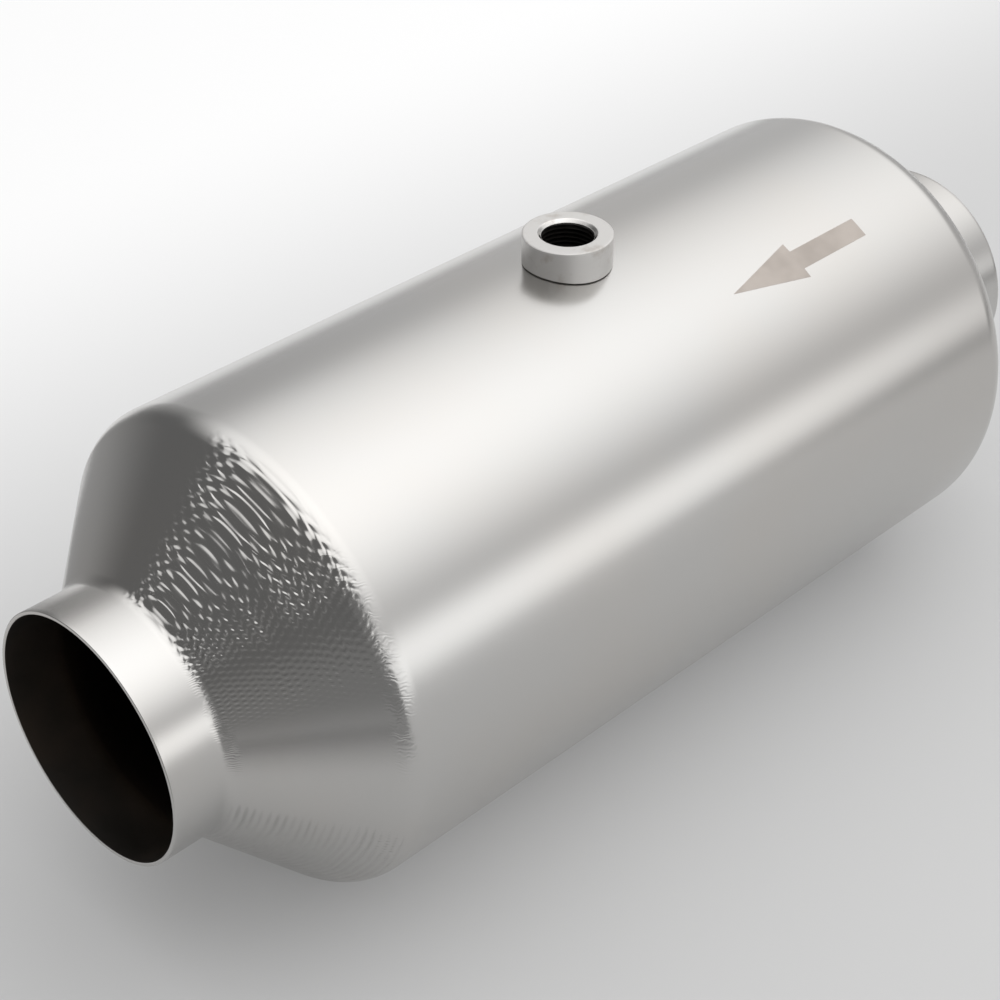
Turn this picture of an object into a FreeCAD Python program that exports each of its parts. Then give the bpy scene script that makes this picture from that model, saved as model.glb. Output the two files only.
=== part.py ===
"""Spun catalytic converter with an oxygen sensor port between its two catalyst bricks.

The shell is one tube whose ends are spun down to cones and necks. Two honeycomb bricks
lie in it end to end with a chamber between them. Each brick is wrapped in a support mat,
and a ring of knitted wire closes the mat at both ends. A threaded boss is projection
welded over a hole in the crown, so that a sensor reads the gas between the bricks.

Lengths are in millimetres. The frame's origin is on the shell's axis, midway between the
two mouths. +X runs along the axis to the inlet, so the gas flows towards -X, and +Z runs
up through the sensor boss.
"""

import FreeCAD
import Part
import math
import os

from FreeCAD import Vector

# Shell: a rolled and welded tube, spun down at both ends
body_diameter = 152.4
shell_wall = 1.2
cone_length = 34.8
neck_bore = 76.4
neck_length = 18.6
shoulder_radius = 11.0
root_radius = 6.0

# Catalyst bricks: extruded ceramic with square cells
brick_length = 114.3
brick_chamber = 28.0
brick_setback = 2.5
brick_skin = 1.4
cell_pitch = 9.0
cell_wall = 1.2

# Support mats and the wire seals at their ends
mat_thickness = 3.1
seal_width = 6.0
seal_bevel = 1.0
seal_inset = 1.0
seal_clearance = 0.15
mat_joint_gap = 0.8
mat_tongue_width = 36.0
mat_joint_angle = 205.0

# Sensor boss and its port through the shell
thread_diameter = 18.0
thread_pitch = 1.5
thread_countersink = 0.2
boss_wall = 5.0
boss_height = 9.6
boss_edge = 0.5
port_clearance = 1.0
weld_land_width = 2.4
weld_gap = 0.35

# An ISO thread's inside diameter is its nominal size less this share of the pitch
THREAD_DEPTH_SHARE = 1.0825

X_AXIS = Vector(1, 0, 0)
Z_AXIS = Vector(0, 0, 1)
ORIGIN = Vector(0, 0, 0)

body_radius = body_diameter / 2
body_bore_radius = body_radius - shell_wall
neck_radius = neck_bore / 2 + shell_wall
brick_radius = body_bore_radius - mat_thickness
brick_stack = brick_chamber + 2 * brick_length
cone_angle = math.atan2(body_radius - neck_radius, cone_length)
bend_share = math.tan(cone_angle / 2)

# The shoulder stands far enough out for the bricks to end on the straight bore
shoulder_bend = (shoulder_radius - shell_wall) * bend_share
shoulder_x = brick_stack / 2 + brick_setback + shoulder_bend + shell_wall * bend_share
root_x = shoulder_x + cone_length
mouth_x = root_x + neck_length

mat_length = brick_length - 2 * (seal_inset + seal_width + seal_clearance)
thread_bore = thread_diameter - THREAD_DEPTH_SHARE * thread_pitch
boss_diameter = thread_diameter + 2 * boss_wall
boss_top = body_radius + boss_height
port_diameter = thread_diameter + 2 * port_clearance
countersink_diameter = thread_diameter + 2 * thread_countersink


def on_section(x, radius):
    """The point of the axial section at x along the axis and at this radius."""
    return Vector(x, 0, radius)


def straight(start, end):
    """A straight edge between two points."""
    return Part.LineSegment(start, end).toShape()


def bent_path(corners, bends):
    """Straight edges through the corners, with a tangent arc of each bend's radius.

    The first and last corners are the path's ends, and bends holds one radius for each
    corner between them. An arc takes at most 0.45 of the shorter run beside it.
    """
    edges = []
    start = corners[0]
    for before, corner, after, radius in zip(corners, corners[1:], corners[2:], bends):
        run_in = corner - before
        run_out = after - corner
        turn = run_in.getAngle(run_out)
        reach = radius * math.tan(turn / 2)
        longest = 0.45 * min(run_in.Length, run_out.Length)
        if reach > longest:
            radius *= longest / reach
            reach = longest
        run_in.normalize()
        run_out.normalize()
        arc_start = corner - run_in * reach
        arc_end = corner + run_out * reach
        inward = (run_out - run_in).normalize()
        arc_middle = corner + inward * (radius / math.cos(turn / 2) - radius)
        edges.append(straight(start, arc_start))
        edges.append(Part.Arc(arc_start, arc_middle, arc_end).toShape())
        start = arc_end
    edges.append(straight(start, corners[-1]))
    return edges


def shell_skin(depth):
    """The shell's section line from mouth to mouth, at this depth under its outside."""
    inset = depth * bend_share
    neck = neck_radius - depth
    body = body_radius - depth
    half = [
        on_section(mouth_x, neck),
        on_section(root_x - inset, neck),
        on_section(shoulder_x - inset, body),
    ]
    mirrored = [on_section(-point.x, point.z) for point in reversed(half)]
    bends = [root_radius + depth, shoulder_radius - depth]
    return bent_path(half + mirrored, bends + bends[::-1])


def turned(edges):
    """The solid that a closed section of edges sweeps around the shell's axis."""
    section = Part.Face(Part.Wire(Part.__sortEdges__(edges)))
    return section.revolve(ORIGIN, X_AXIS, 360)


def ring(low_x, high_x, inner_radius, outer_radius):
    """A plain tube around the shell's axis between two stations."""
    length = high_x - low_x
    outside = Part.makeCylinder(outer_radius, length, Vector(low_x, 0, 0), X_AXIS)
    inside = Part.makeCylinder(inner_radius, length, Vector(low_x, 0, 0), X_AXIS)
    return outside.cut(inside)


def make_shell():
    """The spun shell: body, cones and necks in one wall, with the port in its crown."""
    rims = [
        straight(on_section(x, neck_radius), on_section(x, neck_radius - shell_wall))
        for x in (-mouth_x, mouth_x)
    ]
    wall = turned(shell_skin(0) + shell_skin(shell_wall) + rims)
    port = Part.makeCylinder(port_diameter / 2, body_diameter, ORIGIN, Z_AXIS)
    return wall.cut(port)


def make_sensor_boss():
    """The threaded boss, saddle-cut to the shell and standing on its weld land.

    The land is a raised ring around the port. It keeps the boss's foot a weld gap off
    the shell, as a projection weld does.
    """
    blank = Part.makeCylinder(boss_diameter / 2, boss_top, ORIGIN, Z_AXIS)
    blank = blank.makeChamfer(boss_edge, [edge_at(blank, boss_top)])
    saddle_radius = body_radius + weld_gap
    saddle_start = Vector(-boss_diameter, 0, 0)
    saddle = Part.makeCylinder(saddle_radius, 2 * boss_diameter, saddle_start, X_AXIS)
    seat = Part.makeCylinder(body_radius, 2 * boss_diameter, saddle_start, X_AXIS)
    land_radius = port_diameter / 2 + weld_land_width
    land = Part.makeCylinder(land_radius, body_radius + boss_height / 2, ORIGIN, Z_AXIS).cut(seat)
    bore = Part.makeCylinder(thread_bore / 2, boss_top, ORIGIN, Z_AXIS)
    relief_top = body_radius + weld_gap
    relief = Part.makeCylinder(port_diameter / 2, relief_top, ORIGIN, Z_AXIS)
    sink_depth = (countersink_diameter - thread_bore) / 2
    sink_start = Vector(0, 0, boss_top - sink_depth)
    sink = Part.makeCone(thread_bore / 2, countersink_diameter / 2, sink_depth, sink_start, Z_AXIS)
    body = blank.cut(saddle).fuse(land).cut(relief)
    return body.cut(bore).cut(sink).removeSplitter()


def edge_at(shape, height):
    """The round edge of a shape that lies level at this height."""
    for edge in shape.Edges:
        box = edge.BoundBox
        if abs(box.ZMin - height) < 1e-6 and abs(box.ZMax - height) < 1e-6:
            return edge
    raise ValueError(f"no edge lies at a height of {height}")


def brick_cells(face_x):
    """The square outlines of every whole cell that fits inside the brick's skin."""
    half_cell = (cell_pitch - cell_wall) / 2
    reach = brick_radius - brick_skin
    count = int(reach / cell_pitch)
    cells = []
    for row in range(-count, count + 1):
        for column in range(-count, count + 1):
            y = column * cell_pitch
            z = row * cell_pitch
            if math.hypot(abs(y) + half_cell, abs(z) + half_cell) > reach:
                continue
            corners = [
                Vector(face_x, y - half_cell, z - half_cell),
                Vector(face_x, y + half_cell, z - half_cell),
                Vector(face_x, y + half_cell, z + half_cell),
                Vector(face_x, y - half_cell, z + half_cell),
            ]
            cells.append(Part.makePolygon(corners + corners[:1]))
    return cells


def make_brick(low_x):
    """A round honeycomb brick whose cells run straight through from face to face."""
    outline = Part.Wire([Part.makeCircle(brick_radius, Vector(low_x, 0, 0), X_AXIS)])
    face = Part.makeFace([outline] + brick_cells(low_x), "Part::FaceMakerCheese")
    return face.extrude(Vector(brick_length, 0, 0))


def mat_slit(low_x, high_x, angle):
    """A cutter that opens the mat's joint along the axis at this angle from the crown."""
    corner = Vector(low_x, -mat_joint_gap / 2, brick_radius - mat_thickness / 2)
    slit = Part.makeBox(high_x - low_x, mat_joint_gap, 2 * mat_thickness, corner)
    slit.rotate(ORIGIN, X_AXIS, angle)
    return slit


def make_mat(low_x):
    """A support mat: one strip wrapped round its brick, joined by a tongue in a groove."""
    high_x = low_x + mat_length
    tongue_low = low_x + mat_length / 2 - mat_tongue_width / 2
    tongue_high = tongue_low + mat_tongue_width
    tongue_turn = math.degrees(mat_tongue_width / body_bore_radius)
    tongue_angle = mat_joint_angle + tongue_turn
    half_slit = mat_joint_gap / 2
    mat = ring(low_x, high_x, brick_radius, body_bore_radius)
    mat = mat.cut(mat_slit(low_x, tongue_low + half_slit, mat_joint_angle))
    tongue_tip = mat_slit(tongue_low - half_slit, tongue_high + half_slit, tongue_angle)
    mat = mat.cut(tongue_tip)
    mat = mat.cut(mat_slit(tongue_high - half_slit, high_x, mat_joint_angle))
    for side in (tongue_low, tongue_high):
        sector = Part.makeCylinder(
            body_radius, mat_joint_gap, Vector(side - half_slit, 0, 0), X_AXIS, tongue_turn
        )
        sector.rotate(ORIGIN, X_AXIS, mat_joint_angle + 90)
        mat = mat.cut(sector)
    return mat


def make_seal(middle_x):
    """A knitted wire rope ring, flattened between the brick and the shell.

    Its two ends are bevelled, as the rope's roundness leaves them.
    """
    wide = seal_width / 2
    narrow = wide - seal_bevel
    section = [
        (-narrow, body_bore_radius),
        (narrow, body_bore_radius),
        (wide, body_bore_radius - seal_bevel),
        (wide, brick_radius + seal_bevel),
        (narrow, brick_radius),
        (-narrow, brick_radius),
        (-wide, brick_radius + seal_bevel),
        (-wide, body_bore_radius - seal_bevel),
    ]
    corners = [on_section(middle_x + along, radius) for along, radius in section]
    return turned([straight(a, b) for a, b in zip(corners, corners[1:] + corners[:1])])


def make_parts():
    """Every piece by its node's name."""
    parts = {"shell": make_shell(), "sensor_boss": make_sensor_boss()}
    seal_reach = seal_inset + seal_width / 2
    mat_reach = seal_inset + seal_width + seal_clearance
    for side, low_x in (("inlet", brick_chamber / 2), ("outlet", -brick_chamber / 2 - brick_length)):
        high_x = low_x + brick_length
        upstream, downstream = high_x - seal_reach, low_x + seal_reach
        parts[f"{side}_catalyst_brick"] = make_brick(low_x)
        parts[f"{side}_support_mat"] = make_mat(low_x + mat_reach)
        parts[f"{side}_upstream_wire_seal"] = make_seal(upstream)
        parts[f"{side}_downstream_wire_seal"] = make_seal(downstream)
    return parts


def main():
    """Builds every piece, checks that it is one closed solid and writes its STEP file."""
    os.makedirs("parts", exist_ok=True)
    for name, shape in make_parts().items():
        if not shape.isValid() or len(shape.Solids) != 1:
            raise ValueError(f"{name} is not one valid solid")
        shape.exportStep(f"parts/{name}.step")
        print(f"{name}: {shape.Volume / 1000:.1f} cm3")
    print(f"overall length {2 * mouth_x:.1f}, body {2 * shoulder_x:.1f}, neck {2 * neck_radius:.1f}")


main()
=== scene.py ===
"""Looks of a round spun catalytic converter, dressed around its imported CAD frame.

The shell, the sensor boss, both honeycomb bricks and the four wire seals are rebuilt as
fine meshes that stand for their CAD nodes. The two support mats keep their CAD meshes and
get a fibre finish. The arrow etched on the crown is a piece of its own.

Sizes are in millimetres and are turned into metres where a mesh is made. +X is the
inlet's side and +Z is up through the sensor boss. An angle around the axis is counted
from the crown towards -Y.
"""

import logging
import math
from dataclasses import dataclass, field
from enum import Enum
from typing import Any, Sequence

import bpy
import numpy as np
from mathutils import Matrix, Vector
from numpy.typing import NDArray


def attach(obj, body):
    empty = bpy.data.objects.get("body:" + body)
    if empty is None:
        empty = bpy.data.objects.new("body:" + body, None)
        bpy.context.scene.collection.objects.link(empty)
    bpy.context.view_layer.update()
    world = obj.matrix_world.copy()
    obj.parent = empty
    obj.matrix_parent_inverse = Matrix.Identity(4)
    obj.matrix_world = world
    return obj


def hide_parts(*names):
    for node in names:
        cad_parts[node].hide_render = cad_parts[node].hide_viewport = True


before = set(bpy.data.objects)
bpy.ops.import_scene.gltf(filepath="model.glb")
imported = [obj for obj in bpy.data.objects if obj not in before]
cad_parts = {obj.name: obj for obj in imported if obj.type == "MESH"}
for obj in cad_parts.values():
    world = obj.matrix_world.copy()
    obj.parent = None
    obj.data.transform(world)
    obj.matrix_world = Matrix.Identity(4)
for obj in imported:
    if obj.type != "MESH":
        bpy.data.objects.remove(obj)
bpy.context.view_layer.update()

Array = NDArray[np.float64]
Index = NDArray[np.int64]
Colour = tuple[float, float, float]
Socket = Any

MM = 0.001
BODY = "root"
SEAL_INSET = 4.0
log = logging.getLogger("converter")


class End(Enum):
    """The two ends of the converter, each with the direction of its neck along X."""

    INLET = 1
    OUTLET = -1

    @property
    def word(self) -> str:
        """The end's name as the CAD nodes spell it."""
        return self.name.lower()


class Slot(Enum):
    """The record's material slots, one named for each new piece."""

    SHELL = "shell_steel"
    BOSS = "boss_steel"
    CERAMIC = "coated_ceramic"
    WIRE = "seal_wire"


# Meshes


def beside(*parts: Array) -> Array:
    """These arrays, spread to one shape, side by side along a new last axis."""
    return np.stack(np.broadcast_arrays(*parts), -1)


def band_faces(index: Index, around: bool = True, closed: bool = False) -> Index:
    """Quads between neighbouring rows of a grid of vertex numbers.

    Args:
        index: Vertex numbers, one row of the grid per row.
        around: Joins the last column to the first.
        closed: Joins the last row to the first.

    Returns:
        One quad per row, each running up a column, across a row and back.
    """
    low = index if closed else index[:-1]
    high = np.roll(index, -1, 0) if closed else index[1:]
    if around:
        quads = beside(low, np.roll(low, -1, 1), np.roll(high, -1, 1), high)
    else:
        quads = beside(low[:, :-1], low[:, 1:], high[:, 1:], high[:, :-1])
    return quads.reshape(-1, 4)


def around_axis(x: Array, radius: Array, angle: Array) -> Array:
    """Points around the X axis: radius times (minus sine, cosine) of the angle in YZ."""
    return beside(x, -radius * np.sin(angle), radius * np.cos(angle))


def laid_end_to_end(*stretches: tuple[float, int]) -> Array:
    """Distances along stretches, each given by its length and its number of steps."""
    made = [np.zeros(1)]
    for length, steps in stretches:
        made.append(made[-1][-1] + np.linspace(0, length, steps + 1)[1:])
    return np.concatenate(made)


def smooth_step(value: Array, low: float, high: float) -> Array:
    """0 below low and 1 above high, with the cubic 3t^2 - 2t^3 between them."""
    t = np.clip((value - low) / (high - low), 0, 1)
    return t * t * (3 - 2 * t)


def make_mesh(
    name: str, points: Array, faces: Sequence[Index], crease: float = 40.0
) -> bpy.types.Mesh:
    """A smooth-shaded mesh from points in millimetres.

    Args:
        name: The mesh's name.
        points: One point per row.
        faces: Arrays of faces, each with one face per row of vertex numbers.
        crease: Faces that meet at more than this many degrees keep a sharp edge.

    Returns:
        The mesh, in metres.
    """
    mesh = bpy.data.meshes.new(name)
    loops = np.concatenate([group.ravel() for group in faces])
    sizes = np.concatenate([np.full(len(group), group.shape[1]) for group in faces])
    starts = np.concatenate(([0], np.cumsum(sizes)[:-1]))
    mesh.vertices.add(len(points))
    mesh.vertices.foreach_set("co", (points * MM).astype(np.float32).ravel())
    mesh.loops.add(len(loops))
    mesh.loops.foreach_set("vertex_index", loops.astype(np.int32))
    mesh.polygons.add(len(sizes))
    mesh.polygons.foreach_set("loop_start", starts.astype(np.int32))
    mesh.update(calc_edges=True)
    mesh.shade_smooth()
    mesh.set_sharp_from_angle(angle=math.radians(crease))
    return mesh


def closed_mesh(name: str, points: Array, crease: float) -> bpy.types.Mesh:
    """A mesh of a grid of points whose last row and column join the first."""
    index = np.arange(points[..., 0].size).reshape(points.shape[:2])
    return make_mesh(name, points.reshape(-1, 3), [band_faces(index, closed=True)], crease)


def add_values(mesh: bpy.types.Mesh, name: str, values: Array) -> None:
    """Keeps one number per vertex on the mesh, for its material to read."""
    layer = mesh.attributes.new(name, "FLOAT", "POINT")
    layer.data.foreach_set("value", values.astype(np.float32).ravel())


def add_piece(mesh: bpy.types.Mesh, slot: Slot, *nodes: str) -> bpy.types.Object:
    """Shows a mesh as a piece that rides on the body.

    Args:
        mesh: The piece's mesh; the piece takes its name.
        slot: A material slot of the record; not used.
        nodes: The CAD nodes that the piece stands for.

    Returns:
        The new object, at the origin.
    """
    piece = bpy.data.objects.new(mesh.name, mesh)
    bpy.context.scene.collection.objects.link(piece)
    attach(piece, BODY)
    if nodes:
        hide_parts(*nodes)
    triangles = sum(len(face.vertices) - 2 for face in mesh.polygons)
    log.info("%s: %d triangles", mesh.name, triangles)
    return piece


# Shader nodes


class Graph:
    """A material's node tree, with short ways to add nodes and join them."""

    def __init__(self, name: str) -> None:
        """Starts an empty tree in a new material."""
        self.material = bpy.data.materials.new(name)
        self.material.use_nodes = True
        self.tree = self.material.node_tree
        self.tree.nodes.clear()

    def node(self, kind: str, **settings: Any) -> Any:
        """Adds a node and gives it these settings."""
        made = self.tree.nodes.new(kind)
        for name, value in settings.items():
            setattr(made, name, value)
        return made

    def feed(self, socket: Socket, value: Any) -> None:
        """Joins an input to another node's output, or sets it to a plain value."""
        if isinstance(value, bpy.types.NodeSocket):
            self.tree.links.new(value, socket)
        else:
            socket.default_value = value

    def math(self, operation: str, *values: Any) -> Socket:
        """The result of one Math node."""
        made = self.node("ShaderNodeMath", operation=operation)
        for socket, value in zip(made.inputs, values):
            self.feed(socket, value)
        return made.outputs[0]

    def add(self, *values: Any) -> Socket:
        """The sum of all values."""
        total = values[0]
        for value in values[1:]:
            total = self.math("ADD", total, value)
        return total

    def times(self, *values: Any) -> Socket:
        """The product of all values."""
        total = values[0]
        for value in values[1:]:
            total = self.math("MULTIPLY", total, value)
        return total

    def cosine(self, angle: Socket) -> Socket:
        """The cosine of an angle in radians."""
        return self.math("COSINE", angle)

    def sine(self, angle: Socket) -> Socket:
        """The sine of an angle in radians."""
        return self.math("SINE", angle)

    def spread(
        self, value: Socket, low: float, high: float, to_low: float = 0.0, to_high: float = 1.0
    ) -> Socket:
        """The value's place between low and high, smoothly mapped to the new range."""
        made = self.node("ShaderNodeMapRange", interpolation_type="SMOOTHSTEP")
        for socket, number in zip(made.inputs, (value, low, high, to_low, to_high)):
            self.feed(socket, number)
        return made.outputs[0]

    def hill(self, value: Socket, rise: Sequence[float], fall: Sequence[float]) -> Socket:
        """1 between a smooth rise and a smooth fall, and 0 outside them."""
        return self.times(self.spread(value, *rise), self.spread(value, *fall, 1.0, 0.0))

    def place(self) -> Socket:
        """The surface point in the object's own coordinates, in metres."""
        return self.node("ShaderNodeTexCoord").outputs["Object"]

    def parts(self, vector: Socket) -> Sequence[Socket]:
        """A vector's three parts."""
        made = self.node("ShaderNodeSeparateXYZ")
        self.feed(made.inputs[0], vector)
        return made.outputs

    def vector(self, x: Any, y: Any, z: Any) -> Socket:
        """A vector from three parts."""
        made = self.node("ShaderNodeCombineXYZ")
        for socket, value in zip(made.inputs, (x, y, z)):
            self.feed(socket, value)
        return made.outputs[0]

    def value_of(self, name: str) -> Socket:
        """A number that the mesh keeps at each vertex."""
        return self.node("ShaderNodeAttribute", attribute_name=name).outputs["Fac"]

    def noise(
        self, vector: Socket, scale: float, detail: float = 2.0, rough: float = 0.5
    ) -> Socket:
        """Fractal noise around 0.5."""
        made = self.node("ShaderNodeTexNoise")
        self.feed(made.inputs["Vector"], vector)
        made.inputs["Scale"].default_value = scale
        made.inputs["Detail"].default_value = detail
        made.inputs["Roughness"].default_value = rough
        return made.outputs[0]

    def wobble(self, vector: Socket, scale: float, detail: float, size: float) -> Socket:
        """Fractal noise around zero, with this size."""
        return self.times(self.add(self.noise(vector, scale, detail), -0.5), size)

    def stretched(self, vector: Socket, scales: Sequence[float], detail: float) -> Socket:
        """Fractal noise with a scale of its own along each axis."""
        parts = (self.times(part, scale) for part, scale in zip(self.parts(vector), scales))
        return self.noise(self.vector(*parts), 1.0, detail)

    def cells(self, vector: Socket, scale: float) -> Socket:
        """Distance to the nearest of a set of scattered points."""
        made = self.node("ShaderNodeTexVoronoi", feature="F1")
        self.feed(made.inputs["Vector"], vector)
        made.inputs["Scale"].default_value = scale
        return made.outputs["Distance"]

    def blend(self, factor: Socket, first: Colour, second: Colour) -> Socket:
        """A colour between two others."""
        made = self.node("ShaderNodeMix", data_type="RGBA")
        self.feed(made.inputs[0], factor)
        for socket, colour in ((made.inputs[6], first), (made.inputs[7], second)):
            is_plain = not isinstance(colour, bpy.types.NodeSocket)
            self.feed(socket, (*colour, 1.0) if is_plain else colour)
        return made.outputs[2]

    def bump(self, height: Socket) -> Socket:
        """The normal of a surface raised by this height in millimetres."""
        made = self.node("ShaderNodeBump")
        made.inputs["Strength"].default_value = 1.0
        made.inputs["Distance"].default_value = MM
        self.feed(made.inputs["Height"], height)
        return made.outputs[0]

    def end(self, shader: Any) -> bpy.types.Material:
        """Ends the tree in this shader node and returns the finished material."""
        self.feed(self.node("ShaderNodeOutputMaterial").inputs[0], shader.outputs[0])
        return self.material

    def mix(self, factor: Socket, first: Any, second: Any) -> bpy.types.Material:
        """Ends the tree in a mix of two shader nodes."""
        mixed = self.node("ShaderNodeMixShader")
        for socket, value in zip(mixed.inputs, (factor, first.outputs[0], second.outputs[0])):
            self.feed(socket, value)
        return self.end(mixed)

    def surface(self, **inputs: Any) -> bpy.types.Material:
        """Ends the tree in a Principled shader.

        Args:
            inputs: The shader's inputs, with underscores for the spaces in their names.

        Returns:
            The finished material.
        """
        shader = self.node("ShaderNodeBsdfPrincipled")
        for name, value in inputs.items():
            self.feed(shader.inputs[name.replace("_", " ")], value)
        return self.end(shader)


# Finishes


@dataclass(frozen=True)
class SpunSteel:
    """Satin rolled sheet whose cones carry the marks of the spinning roller.

    The roller leaves a ring at each turn and chatters as it goes. The chatter's phase is
    a cosine of the angle. Where that phase stands still the marks are long lenses, and
    where it runs they are rows of staggered dots.
    """

    colour: Colour = (0.56, 0.553, 0.541)
    warm: Colour = (0.565, 0.549, 0.529)
    body_roughness: float = 0.24
    cone_roughness: float = 0.18
    row_pitch: float = 4.4
    row_shift: float = 6.0
    row_flatness: float = 0.93
    mark_height: float = 0.175
    mark_fullness: float = 1.2
    phase_swing: float = 312.0
    drift_shift: float = 3.0
    still_angle: float = 18.0
    ring_pitch: float = 1.65
    ring_height: float = 0.014
    tooth_height: float = 0.014

    def marks(self, g: Graph, place: Socket) -> Socket:
        """The height of the chatter marks in millimetres, over the whole shell.

        A mark's outline is the product of two waves. One counts the marks around a row,
        with a shift for each row, and the other runs along the section from row to row.
        """
        x, y, z = g.parts(place)
        angle = g.math("ARCTAN2", g.times(y, -1.0), z)
        run = g.value_of("run")
        side = g.times(g.math("SIGN", x), 7.0)
        by_row = g.noise(g.vector(g.times(run, 0.42), side, 0.0), 1.0, 1.0)
        drift = g.noise(place, 60.0, 1.0)
        still = g.add(angle, -math.radians(self.still_angle))
        turns = g.times(g.cosine(still), self.phase_swing)
        shift = g.add(g.times(by_row, self.row_shift), g.times(drift, self.drift_shift))
        full = g.math("TANH", g.times(g.cosine(g.add(turns, shift)), self.mark_fullness))
        rows = g.add(g.times(run, 2 * math.pi / self.row_pitch), g.times(drift, 2.0))
        flats = g.math("ARCSINE", g.times(g.cosine(rows), self.row_flatness))
        lobes = g.times(full, flats, self.mark_height)
        ring = g.add(g.times(run, 2 * math.pi / self.ring_pitch), drift)
        rings = g.times(g.cosine(ring), self.ring_height)
        around = g.vector(g.times(run, 0.2), g.times(y, 40.0), g.times(z, 40.0))
        patches = g.spread(g.noise(around, 1.0, 2.0), 0.3, 0.6, 0.6, 1.05)
        share = g.times(patches, g.value_of("marked"))
        return g.add(g.times(g.add(lobes, rings), share), self.teeth(g, place, run, angle))

    def teeth(self, g: Graph, place: Socket, run: Socket, angle: Socket) -> Socket:
        """The fine slanted teeth on the shoulder and at the neck's root, on one side."""
        bends = g.add(g.hill(run, (0.5, 4.0), (7.0, 11.0)), g.hill(run, (50.0, 53.0), (55.0, 58.0)))
        uneven = g.noise(place, 330.0, 1.0)
        worn = g.spread(uneven, 0.35, 0.6, 0.2, 1.0)
        share = g.times(g.hill(angle, (0.55, 0.8), (1.35, 1.7)), worn)
        slant = g.add(g.times(angle, 360.0), g.times(uneven, 20.0), g.times(run, 1.6))
        return g.times(g.sine(slant), bends, share, self.tooth_height)

    def make(self) -> bpy.types.Material:
        """The material: its marks are waves along the section and around the axis."""
        g = Graph("spun_steel")
        place = g.place()
        ends = (self.body_roughness, self.cone_roughness)
        roughness = g.spread(g.value_of("spun"), 0.0, 1.0, *ends)
        tone = g.spread(g.noise(place, 11.0, 3.0), 0.35, 0.65)
        return g.surface(
            Base_Color=g.blend(tone, self.colour, self.warm),
            Metallic=1.0,
            Roughness=g.add(roughness, g.wobble(place, 22.0, 3.0, 0.04)),
            Normal=g.bump(g.add(self.marks(g, place), g.wobble(place, 900.0, 2.0, 0.0016))),
        )


def shaded_inner_steel() -> bpy.types.Material:
    """The shell's inside, near black as painted shade of the hollow shell, browner in clouds and in
    a band past the bend.
    """
    # Both colours are painted shade of the inside, near black; the second is the browner one.
    shade_black, scale = (0.010, 0.008, 0.006), (0.045, 0.030, 0.020)
    g = Graph("shaded_inner_steel")
    place = g.place()
    clouds = g.noise(place, 35.0, 4.0)
    share = g.add(g.times(g.spread(clouds, 0.35, 0.75), 0.5), g.times(g.value_of("spun"), 0.5))
    return g.surface(
        Base_Color=g.blend(share, shade_black, scale),
        Metallic=0.0,
        Roughness=g.spread(clouds, 0.3, 0.7, 0.55, 0.8),
        Specular_IOR_Level=0.25,
        Normal=g.bump(g.times(g.noise(place, 1400.0, 3.0), 0.03)),
    )


def turned_steel() -> bpy.types.Material:
    """Matte turned steel: fine tool rings on the top and around the side, a few stains.

    The countersink is cut later than the rest and is bright.
    """
    colour, stain = (0.62, 0.607, 0.59), (0.40, 0.36, 0.32)
    side_roughness, top_roughness = 0.36, 0.5
    top, edge = 0.0856, 0.0004
    tool_pitch = 0.16 * MM
    g = Graph("turned_steel")
    place = g.place()
    x, y, z = g.parts(place)
    radius = g.math("SQRT", g.add(g.times(x, x), g.times(y, y)))
    tool = g.add(*(g.sine(g.times(way, 2 * math.pi / tool_pitch)) for way in (radius, z)))
    patches = g.noise(place, 180.0, 4.0, 0.6)
    pits = g.spread(g.cells(place, 420.0), 0.0, 0.16, -1.0, 0.0)
    cut = g.value_of("cut")
    rough = g.spread(z, top - edge, top, side_roughness, top_roughness)
    rough = g.times(rough, g.add(g.times(cut, -0.6), 1.0))
    return g.surface(
        Base_Color=g.blend(g.spread(patches, 0.52, 0.78, 0.0, 0.6), colour, stain),
        Metallic=g.add(g.times(cut, 0.55), 0.45),
        Roughness=g.add(rough, g.times(g.add(patches, -0.5), 0.2)),
        Normal=g.bump(
            g.add(g.times(tool, 0.0012), g.times(pits, 0.01), g.times(patches, 0.02))
        ),
    )


def shaded_bore_thread() -> bpy.types.Material:
    """The sensor port's thread: oiled grey steel at its mouth, painted black below as the shade
    down the bore.

    Its tone follows the height, with an uneven edge to the painted shade.
    """
    # Painted shade: the thread goes from dim grey at the mouth to black down the bore.
    mouth, shade_black = (0.16, 0.152, 0.145), (0.012, 0.011, 0.010)
    mouth_height, shade_height = 0.0856, 0.0828
    g = Graph("shaded_bore_thread")
    place = g.place()
    height = g.add(g.parts(place)[2], g.wobble(place, 130.0, 3.0, 0.003))
    share = g.spread(height, shade_height, mouth_height)
    return g.surface(
        Base_Color=g.blend(share, shade_black, mouth),
        Metallic=1.0,
        Roughness=g.add(g.times(share, -0.2), 0.6),
        Normal=g.bump(g.times(g.noise(place, 900.0, 2.0), 0.01)),
    )


def etched_mark() -> bpy.types.Material:
    """The etched arrow: a dull grainy film, matte and tan."""
    colour, dark = (0.50, 0.45, 0.41), (0.42, 0.375, 0.34)
    g = Graph("etched_mark")
    place = g.place()
    grain = g.noise(place, 700.0, 3.0)
    return g.surface(
        Base_Color=g.blend(g.spread(g.noise(place, 90.0, 2.0), 0.3, 0.7), colour, dark),
        Metallic=0.0,
        Roughness=g.spread(grain, 0.3, 0.7, 0.7, 0.9),
        Specular_IOR_Level=0.1,
        Normal=g.bump(g.times(grain, 0.01)),
    )


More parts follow.
